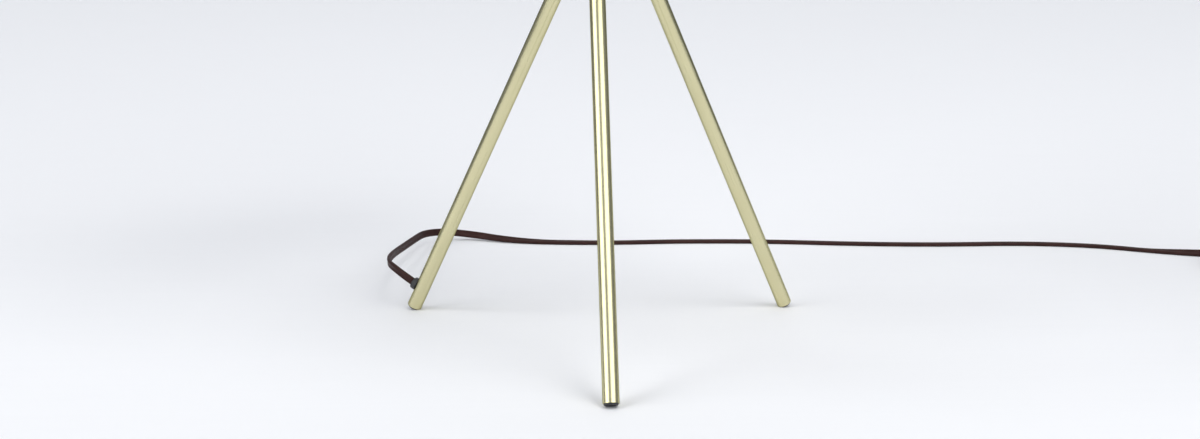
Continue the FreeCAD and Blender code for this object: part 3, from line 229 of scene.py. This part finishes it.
# ---- Plastics and glass
ENAMEL_WHITE = (0.80, 0.79, 0.76)
PLASTIC_BLACK = (0.022, 0.022, 0.024)
RESIN_BLACK = (0.018, 0.014, 0.012)
BOARD_BROWN = (0.42, 0.28, 0.16)
INSULATOR_BLACK = (0.02, 0.02, 0.026)
OPAL = (0.86, 0.86, 0.84)
OPAL_DEEP = (0.80, 0.80, 0.78)
CORD_BROWN = (0.030, 0.0125, 0.011)
CORD_BROWN_PALE = (0.048, 0.021, 0.018)

WEAR_SCALE = 90.0  # per metre
WEAR_GLOSS = (-0.06, 0.08)  # how far wear moves the roughness
WEAR_LIFT = 0.004  # the least that wear adds to each channel
SKIN_DEPTH_SHARE = 0.2  # of the size of the skin's grain


def moulded(name, colour, roughness, grain, bump, speck=0.2, coat=0.0):
    """Moulded plastic or rubber with a fine skin. grain is the size of its grain, in metres."""
    finish = Finish(name)
    skin = finish.noise(finish.place, 1 / grain, detail=2.0, roughness=0.5)
    wear = finish.noise(finish.place, WEAR_SCALE, detail=4.0)
    paler = tuple(channel * (1 + speck) + WEAR_LIFT for channel in colour)
    gloss = finish.spread(wear, roughness + WEAR_GLOSS[0], roughness + WEAR_GLOSS[1])
    finish.put(Base_Color=finish.mix(finish.spread(wear, 0, 1), colour, paler))
    finish.put(Roughness=gloss, Coat_Weight=coat)
    finish.bump(skin, bump, grain * SKIN_DEPTH_SHARE)
    return finish.material


def opal_glass():
    """A bulb's glass, white inside and satin outside."""
    finish = Finish("opal_glass", roughness=0.22)
    clouds = finish.noise(finish.place, scale=60.0, detail=2.0, roughness=0.5)
    finish.put(Base_Color=finish.mix(clouds, OPAL_DEEP, OPAL), Coat_Weight=0.5)
    finish.bump(clouds, strength=0.03, distance=0.0002)
    return finish.material


def cord_vinyl():
    """Soft brown vinyl with a slight bloom."""
    finish = Finish("brown_vinyl")
    bloom = finish.noise(finish.place, scale=130.0, detail=4.0)
    drawn = finish.noise(finish.place, scale=900.0, detail=2.0, roughness=0.5)
    finish.put(Base_Color=finish.mix(finish.spread(bloom, 0, 1), CORD_BROWN, CORD_BROWN_PALE))
    finish.put(Roughness=finish.spread(bloom, 0.46, 0.58), Specular_IOR_Level=0.12)
    finish.bump(drawn, strength=0.12, distance=0.0002)
    return finish.material


def dress_nodes(vinyl):
    """Gives each node of the frame its finish."""
    turned = metal("turned_brass", BRASS, BRASS_DEEP, bump=0.012, edge=BRASS_RIM_SHADE_TINT)
    polished = metal("polished_brass", BRIGHT_BRASS, BRIGHT_BRASS_DEEP, roughness=(0.10, 0.19), bump=0.05)
    drawn = metal("drawn_brass", BRIGHT_BRASS, BRIGHT_BRASS_DEEP, UP, roughness=(0.12, 0.22), bump=0.06)
    steel = metal("zinc_steel", ZINC, ZINC_DEEP, roughness=(0.24, 0.42), bump=0.15)
    pressed = metal("pressed_aluminium", ALUMINIUM, ALUMINIUM_DEEP, roughness=(0.16, 0.30), bump=0.1)
    enamel = moulded("white_enamel", ENAMEL_WHITE, 0.35, grain=0.0009, bump=0.15, speck=0.03, coat=0.4)
    plastic = moulded("black_plastic", PLASTIC_BLACK, 0.48, grain=0.0005, bump=0.35)
    resin = moulded("black_resin", RESIN_BLACK, 0.26, grain=0.0012, bump=0.08, speck=0.3, coat=0.5)
    board = moulded("liner_board", BOARD_BROWN, 0.8, grain=0.0008, bump=0.5)
    glassy = moulded("insulator_glass", INSULATOR_BLACK, 0.14, grain=0.002, bump=0.03, coat=0.6)
    plug = moulded("brown_plug", CORD_BROWN, 0.5, grain=0.0006, bump=0.4, speck=0.5)
    worn_by = [
        (leg_brass("front"), ["leg_front"]),
        (leg_brass("left"), ["leg_left"]),
        (leg_brass("right"), ["leg_right"]),
        (turned, ["crossing_hub", "top_housing", "housing_lid"]),
        (polished, ["harp_sleeve_left", "harp_sleeve_right", "shade_swivel", "finial_collar"]),
        (polished, ["finial_ball", "socket_cap", "socket_shell", "lid_screws"]),
        (drawn, ["harp_saddle", "harp", "upper_nut", "plug_blades", "centre_contact"]),
        (steel, ["hub_screws", "housing_screws", "threaded_pipe", "lower_nut", "terminal_screws"]),
        (pressed, ["bulb_base", "bulb_contact", "screw_shell"]),
        (enamel, ["shade_fitter", "shade_bottom_ring"]),
        (plastic, ["leg_plugs", "cord_bushing"]),
        (resin, ["socket_block", "switch_knob"]),
        (board, ["socket_liner"]),
        (glassy, ["bulb_insulator"]),
        (opal_glass(), ["bulb_glass"]),
        (plug, ["plug_body"]),
        (vinyl, ["inner_cord", "socket_wires"]),
    ]
    for material, nodes in worn_by:
        for node in nodes:
            slots = NODES[node].data.materials
            slots.clear()
            slots.append(material)


# ---- Meshes
def make_piece(name, vertices, faces, material, smooth=True):
    mesh = bpy.data.meshes.new(name)
    mesh.from_pydata([tuple(place) for place in vertices], [], faces)
    mesh.validate()
    if smooth:
        mesh.polygons.foreach_set("use_smooth", [True] * len(mesh.polygons))
    mesh.materials.append(material)
    return link(bpy.data.objects.new(name, mesh))


def loft(rings):
    """Vertices and faces through rings of equal count, closed at both ends."""
    count = len(rings[0])
    vertices = [place for ring in rings for place in ring]
    faces = []
    for n in range(len(rings) - 1):
        for k in range(count):
            after = (k + 1) % count
            near, far = n * count, (n + 1) * count
            faces.append((near + k, near + after, far + after, far + k))
    last = (len(rings) - 1) * count
    faces.append(tuple(reversed(range(count))))
    faces.append(tuple(range(last, last + count)))
    return vertices, faces


def smoothstep(low, high, value):
    share = min(1.0, max(0.0, (value - low) / (high - low)))
    return share * share * (3 - 2 * share)


# ---- The cord: out of the bushing, round behind the left leg, along the table, into its coil and
# plug. Its size and its route are in millimetres.
CORD_WIDTH = 7.2
CORD_THICKNESS = 3.6
CORD_EXIT = (-163.50, 94.98, 23.97)
CORD_ROUTE = [
    (-172.4, 100.1, 29.1),
    (-180.8, 108.5, 33.4),
    (-187.5, 126.0, 33.6),
    (-190.0, 160.0, 30.5),
    (-188.5, 205.0, 24.5),
    (-183.0, 252.0, 19.5),
    (-176.0, 298.0, 16.0),
    (-169.5, 338.0, 12.4),
    (-151.0, 358.0, 9.6),
    (-123.0, 361.0, 6.0),
    (-89.0, 348.0, 4.0),
    (-45.0, 339.0, 3.6),
    (16.0, 336.0, 3.6),
    (85.0, 341.0, 3.6),
    (175.0, 338.0, 3.6),
    (265.0, 324.0, 3.6),
    (350.0, 318.0, 3.6),
    (430.0, 322.0, 3.6),
    (505.0, 309.0, 3.6),
    (560.0, 281.0, 3.6),
]
COIL_CENTRE = (634.0, 213.0)
COIL_START = 76.0  # degrees, seen from above; the coil runs clockwise
COIL_RADIUS = 37.0  # in the middle of a layer
COIL_PITCH = 8.0  # from turn to turn
COIL_LAYER = 7.8  # from layer to layer
COIL_TURNS_PER_LAYER = 1.314
COIL_CLIMB_TURNS = 0.5
COIL_LEAD = 42.0
COIL_POINTS_PER_TURN = 16
COIL_TANGENT_STEP = 0.002  # turns
# The tail's points from the coil's end: onwards, to the left, upwards
TAIL_ROUTE = [
    (12.0, 0.0, 0.0),
    (27.0, -1.5, -0.8),
    (44.0, -5.5, -2.6),
    (60.0, -11.5, -4.0),
    (72.0, -17.0, -4.2),
]
SPLINE_ORDER = 3
SPLINE_STEPS = 8

# The flat cord's roll about its own line, in degrees from lying flat, at lengths from the bushing.
# It bends easily only over its flat side, so it stands on its edge in the bow and in the coil.
CORD_ROLL = [(0, 90), (60, 84), (230, 80), (300, 60), (400, 8), (470, 0)]
# The lengths, in metres, between which it rolls on to its edge for the coil and back for the tail
COIL_PATH_LENGTH = 0.7
TAIL_PATH_LENGTH = 0.0735
ROLL_UP_LENGTH = 0.110  # before the coil
ROLL_DOWN_EARLY = 0.010  # the roll back starts this much before the coil's end
ROLL_DOWN_LENGTH = 0.045
# Where the cord lies flat, its section is lowered on to the table. Between these heights of its
# line, in metres, that fades out.
LOWERED_BELOW = 0.0037
FREE_ABOVE = 0.009
LOBE_ARC = 250.0  # degrees of each conductor's round side
LOBE_STEPS = 12


def coil_point(turn):
    """The coil's centre line: two flat spirals, one on the other, with a climb between them."""
    half_climb = COIL_CLIMB_TURNS / 2
    from_middle = turn - COIL_TURNS_PER_LAYER - half_climb
    radius = COIL_RADIUS - COIL_PITCH * COIL_TURNS_PER_LAYER / 2
    height = CORD_WIDTH / 2
    if abs(from_middle) < half_climb:
        radius -= COIL_PITCH * (half_climb**2 - from_middle**2) / (2 * half_climb)
        height += COIL_LAYER * smoothstep(-0.5, 0.5, from_middle / COIL_CLIMB_TURNS)
    else:
        radius += COIL_PITCH * (abs(from_middle) - half_climb)
        height += COIL_LAYER if from_middle > 0 else 0
    angle = math.radians(COIL_START) - 2 * math.pi * turn
    x = COIL_CENTRE[0] + radius * math.cos(angle)
    y = COIL_CENTRE[1] + radius * math.sin(angle)
    return Vector((x, y, height))


def between(table, value):
    """The value between a table's entries, eased from one to the next."""
    for (low, first), (high, second) in zip(table, table[1:]):
        if value < high:
            return first + (second - first) * smoothstep(low, high, value)
    return table[-1][1]


def cord_points():
    turns = 2 * COIL_TURNS_PER_LAYER + COIL_CLIMB_TURNS
    steps = math.ceil(turns * COIL_POINTS_PER_TURN)
    coil = [coil_point(turns * n / steps) for n in range(steps + 1)]
    into = (coil_point(COIL_TANGENT_STEP) - coil[0]).normalized()
    onwards = coil[-1] - coil_point(turns - COIL_TANGENT_STEP)
    onwards.z = 0
    onwards.normalize()
    left = UP.cross(onwards)
    tail = [coil[-1] + onwards * x + left * y + UP * z for x, y, z in TAIL_ROUTE]
    route = [Vector(CORD_EXIT)] + [Vector(point) for point in CORD_ROUTE] + [coil[0] - into * COIL_LEAD]
    return route + coil + tail


def smooth_line(points):
    """The line of one open spline with these control points, in metres."""
    curve = bpy.data.curves.new("cord_line", "CURVE")
    curve.dimensions = "3D"
    spline = curve.splines.new("NURBS")
    spline.points.add(len(points) - 1)
    for control, place in zip(spline.points, points):
        control.co = (*(place * MM), 1.0)
    spline.order_u = SPLINE_ORDER
    spline.use_endpoint_u = True
    curve.resolution_u = SPLINE_STEPS
    holder = link(bpy.data.objects.new("cord_line", curve))
    bpy.context.view_layer.update()
    line = bpy.data.meshes.new_from_object(holder)
    path = [vertex.co.copy() for vertex in line.vertices]
    bpy.data.objects.remove(holder)
    bpy.data.meshes.remove(line)
    return path


def cord_outline():
    """Two round conductors side by side with a groove between them, as (across, over) in metres."""
    lobe = CORD_THICKNESS / 2
    points = []
    for side in (1, -1):
        for n in range(LOBE_STEPS + 1):
            angle = math.radians(-LOBE_ARC / 2 + LOBE_ARC * n / LOBE_STEPS)
            across = side * (CORD_WIDTH / 2 - lobe) + side * lobe * math.cos(angle)
            points.append((across * MM, side * lobe * math.sin(angle) * MM))
    return points


def cord_rings(path):
    """The cord's section at each point of its path, rolled, and lowered where it lies flat."""
    lengths = [0.0]
    for a, b in zip(path, path[1:]):
        lengths.append(lengths[-1] + (b - a).length)
    coil_end = lengths[-1] - TAIL_PATH_LENGTH
    coil_start = coil_end - COIL_PATH_LENGTH
    roll_down = coil_end - ROLL_DOWN_EARLY
    outline = cord_outline()
    rings = []
    for n, place in enumerate(path):
        ahead = (path[min(n + 1, len(path) - 1)] - path[max(n - 1, 0)]).normalized()
        level = UP.cross(ahead).normalized()
        over = ahead.cross(level)
        on_edge = smoothstep(coil_start - ROLL_UP_LENGTH, coil_start, lengths[n])
        on_edge *= 1 - smoothstep(roll_down, roll_down + ROLL_DOWN_LENGTH, lengths[n])
        roll = on_edge * math.pi / 2 + math.radians(between(CORD_ROLL, lengths[n] / MM))
        wide = level * math.cos(roll) + over * math.sin(roll)
        thin = over * math.cos(roll) - level * math.sin(roll)
        half_height = CORD_THICKNESS / 2 + (CORD_WIDTH - CORD_THICKNESS) / 2 * abs(math.sin(roll))
        lowered = (CORD_WIDTH / 2 - half_height) * MM if lengths[n] <= coil_end else 0
        lowered *= 1 - smoothstep(LOWERED_BELOW, FREE_ABOVE, place.z)
        rings.append([place - UP * lowered + wide * a + thin * b for a, b in outline])
    return rings


def make_cord(vinyl):
    path = smooth_line(cord_points())
    cord = make_piece("lamp_cord", *loft(cord_rings(path)), vinyl)
    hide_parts("cord_run", "cord_coil", "cord_tail")
    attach(cord, "stand")


# ---- The shade: linen on a stiff white backing, with a folded hem at each end and one lapped seam.
# All lengths are in millimetres.
SHADE_LOW = 454.3
SHADE_HIGH = 694.3
SHADE_LOW_RADIUS = 203.2
SHADE_HIGH_RADIUS = 190.5
SHADE_WALL = 1.0
SHADE_STEPS = 240  # round
CLOTH_STEPS = 24  # up the cloth between the hems
HEM_WIDTH = 9.0
HEM_RAISED = 0.35
SEAM_RAISED = 0.45
# The seam's place, its width, the step at the lap's cut edge and the fade at its other side, all in
# degrees round the shade
SEAM_AZIMUTH = 96.0
SEAM_WIDTH = 3.4
SEAM_STEP = (-0.2, 0.1)
SEAM_FADE = 1.2
# Across a hem, from the cloth to the cut edge: how far from the shade's edge, and how far proud
HEM_SECTION = [
    (HEM_WIDTH + 0.5, 0.0),
    (HEM_WIDTH, 0.0),
    (HEM_WIDTH - 0.15, HEM_RAISED),
    (HEM_WIDTH - 0.9, HEM_RAISED * 1.1),
    (4.0, HEM_RAISED),
    (1.2, HEM_RAISED),
    (0.35, HEM_RAISED * 0.3),
]
# The hem's turned-in part, inside the shade, in the same way
TURNED_IN_SECTION = [(0.0, -0.5), (0.35, -1.5), (HEM_WIDTH - 0.4, -1.6), (HEM_WIDTH, -SHADE_WALL)]
RIPPLES = [(0.12, 7, 0.6), (0.08, 17, 0.0)]  # depth, waves round the shade, phase in radians

LINEN = (0.80, 0.775, 0.71)
LINEN_DEEP = (0.66, 0.62, 0.53)
THREAD_SPACING = 0.0009  # metres
THREAD_WANDER = 5.0  # radians of the weave's waves
SLUBS_ROUND = (9.0, 900.0)  # noise per radian round the shade, and per metre up it
SLUBS_UP = (180.0, 30.0)
BACKING = (0.87, 0.86, 0.83)
BACKING_DEEP = (0.83, 0.82, 0.79)


def linen():
    """Plain weave with slubs, drawn round the shade."""
    finish = Finish("linen", roughness=0.85)
    x, y, z = finish.parts(finish.place)
    angle = finish.calc("ARCTAN2", y, x)
    wander = finish.times(finish.noise(finish.place, scale=70.0), THREAD_WANDER)
    round_it = finish.times(angle, SHADE_LOW_RADIUS * MM / THREAD_SPACING * math.pi)
    up_it = finish.times(z, math.pi / THREAD_SPACING)
    warp = finish.calc("SINE", finish.calc("ADD", round_it, wander))
    weft = finish.calc("SINE", finish.calc("ADD", up_it, wander))
    weave = finish.times(warp, weft)
    slub_noises = [
        finish.noise(finish.vector(finish.times(angle, per_radian), finish.times(z, per_metre)))
        for per_radian, per_metre in (SLUBS_ROUND, SLUBS_UP)
    ]
    slubs = finish.calc("MAXIMUM", *slub_noises)
    dark_slubs = finish.spread(slubs, 0.0, 0.75, source=(0.45, 0.75))
    dark_weave = finish.spread(weave, 0.0, 0.25, source=(-1.0, 1.0))
    tone = finish.calc("ADD", dark_slubs, dark_weave)
    finish.put(Base_Color=finish.mix(tone, LINEN, LINEN_DEEP), Sheen_Weight=0.25)
    height = finish.calc("ADD", finish.times(weave, 0.4), finish.times(slubs, 0.8))
    finish.bump(height, strength=0.55, distance=0.0004)
    return finish.material


def backing():
    """The shade's stiff white lining."""
    finish = Finish("shade_backing", roughness=0.55)
    clouds = finish.noise(finish.place, scale=25.0, roughness=0.5)
    finish.put(Base_Color=finish.mix(clouds, BACKING_DEEP, BACKING))
    skin = finish.noise(finish.place, scale=700.0, detail=2.0, roughness=0.5)
    finish.bump(skin, strength=0.08, distance=0.0002)
    return finish.material


def shade_radius(height):
    share = (height - SHADE_LOW) / (SHADE_HIGH - SHADE_LOW)
    return SHADE_LOW_RADIUS + share * (SHADE_HIGH_RADIUS - SHADE_LOW_RADIUS)


def shade_section():
    """(height, how far proud) up the outside of the shade's wall, and then down its inside."""
    outside = [(SHADE_LOW + up, proud) for up, proud in reversed(HEM_SECTION)]
    first, last = SHADE_LOW + HEM_SECTION[0][0], SHADE_HIGH - HEM_SECTION[0][0]
    outside += [(first + (last - first) * n / CLOTH_STEPS, 0.0) for n in range(1, CLOTH_STEPS)]
    outside += [(SHADE_HIGH - down, proud) for down, proud in HEM_SECTION]
    inside = [(SHADE_HIGH - down, proud) for down, proud in TURNED_IN_SECTION]
    inside += [(SHADE_LOW + up, proud) for up, proud in reversed(TURNED_IN_SECTION)]
    return outside, inside


def seam_lap(azimuth):
    """How much of the lap's thickness there is at an azimuth."""
    from_seam = (azimuth - SEAM_AZIMUTH + 180) % 360 - 180
    cut, end = -SEAM_WIDTH / 2, SEAM_WIDTH / 2
    lap = smoothstep(cut + SEAM_STEP[0], cut + SEAM_STEP[1], from_seam)
    return lap * (1 - smoothstep(end - SEAM_FADE, end, from_seam))


def make_shade():
    outside, inside = shade_section()
    section = outside + inside
    count = len(section)
    vertices = []
    for n in range(SHADE_STEPS):
        azimuth = 360.0 * n / SHADE_STEPS
        angle = math.radians(azimuth)
        lap = seam_lap(azimuth)
        ripple = sum(depth * math.sin(angle * waves + phase) for depth, waves, phase in RIPPLES)
        for k, (height, proud) in enumerate(section):
            radius = shade_radius(height) + proud + ripple
            if k < len(outside):
                radius += lap * SEAM_RAISED
            vertices.append(Vector((radius * math.cos(angle), radius * math.sin(angle), height)) * MM)
    faces = []
    for n in range(SHADE_STEPS):
        here, there = n * count, (n + 1) % SHADE_STEPS * count
        for k in range(count):
            up = (k + 1) % count
            faces.append((here + k, there + k, there + up, here + up))
    shade = make_piece("shade_linen", vertices, faces, linen())
    shade.data.materials.append(backing())
    for index, polygon in enumerate(shade.data.polygons):
        if len(outside) + 1 < index % count < count - 2:
            polygon.material_index = 1
    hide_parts("shade_cover")
    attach(shade, "shade")


# ---- Floor and light
FLOOR_REACH = 9.0
FLOOR = (0.88, 0.89, 0.91)
FLOOR_DEEP = (0.86, 0.87, 0.89)
FLOOR_STREAKS = (6.0, 160.0)  # per metre along x, and along y

# Each lamp's name, place, size, power and colour
LAMPS = [
    ("key", (0.95, -1.03, 3.3), 1.1, 19.8, (1.0, 0.98, 0.95)),
    ("fill", (-1.5, -0.35, 2.9), 0.6, 7.5, (0.97, 0.98, 1.0)),
]
LAMP_TARGET = (0, 0, 0.1)

WORLD_LOW = (0.16, 0.172, 0.20)  # at the horizon
WORLD_HIGH = (0.49, 0.51, 0.56)  # overhead
# Large soft boxes, as far away as the world and hidden from the camera: the way to each, its half
# angle in degrees and its brightness
SOFT_BOXES = [
    ((-0.788, -0.382, 0.483), 22.0, 2.6),
    ((0.50, -0.63, 0.594), 24.0, 2.35),
    ((0.10, 0.70, 0.70), 26.0, 1.0),
]
SOFT_BOX_EDGE = 4.0  # degrees, over which a soft box fades


def make_floor():
    finish = Finish("pale_table", roughness=0.7)
    finish.put(Specular_IOR_Level=0.12)
    x, y, z = finish.parts(finish.place)
    streaks = finish.vector(finish.times(x, FLOOR_STREAKS[0]), finish.times(y, FLOOR_STREAKS[1]))
    grain = finish.noise(streaks, detail=5.0)
    finish.put(Base_Color=finish.mix(grain, FLOOR_DEEP, FLOOR))
    finish.bump(grain, strength=0.04, distance=0.0003)
    corners = [Vector((x, y, 0)) * FLOOR_REACH for x, y in ((-1, -1), (1, -1), (1, 1), (-1, 1))]
    floor = make_piece("floor", corners, [(0, 1, 2, 3)], finish.material, smooth=False)


def make_lamps():
    for name, place, size, power, colour in LAMPS:
        data = bpy.data.lights.new(name, "AREA")
        data.shape = "RECTANGLE"
        data.size = data.size_y = size
        data.energy = power
        data.color = colour
        lamp = link(bpy.data.objects.new(name, data))
        lamp.location = place
        lamp.rotation_euler = (Vector(LAMP_TARGET) - Vector(place)).to_track_quat("-Z", "Y").to_euler()


def make_world():
    world = bpy.data.worlds.new("studio")
    world.use_nodes = True
    SCENE.world = world
    sky = NodeTree(world.node_tree)
    way = sky.add("TexCoord").outputs["Generated"]
    light = sky.mix(sky.parts(way)[2], WORLD_LOW, WORLD_HIGH)
    camera_ray = sky.add("LightPath").outputs["Is Camera Ray"]
    unseen = sky.calc("SUBTRACT", 1.0, camera_ray)
    for towards, half_angle, brightness in SOFT_BOXES:
        edge = math.cos(math.radians(half_angle + SOFT_BOX_EDGE))
        full = math.cos(math.radians(half_angle))
        inside = sky.spread(sky.dot(way, Vector(towards).normalized()), 0.0, 1.0, source=(edge, full))
        light = sky.mix(sky.times(inside, unseen), light, (brightness, brightness, brightness))
    sky.feed(sky.tree.nodes["Background"].inputs["Color"], light)


CORD_VINYL = cord_vinyl()
make_camera()
make_cord(CORD_VINYL)
dress_nodes(CORD_VINYL)
make_shade()
make_floor()
make_world()
make_lamps()

SCENE.view_settings.view_transform = "Standard"
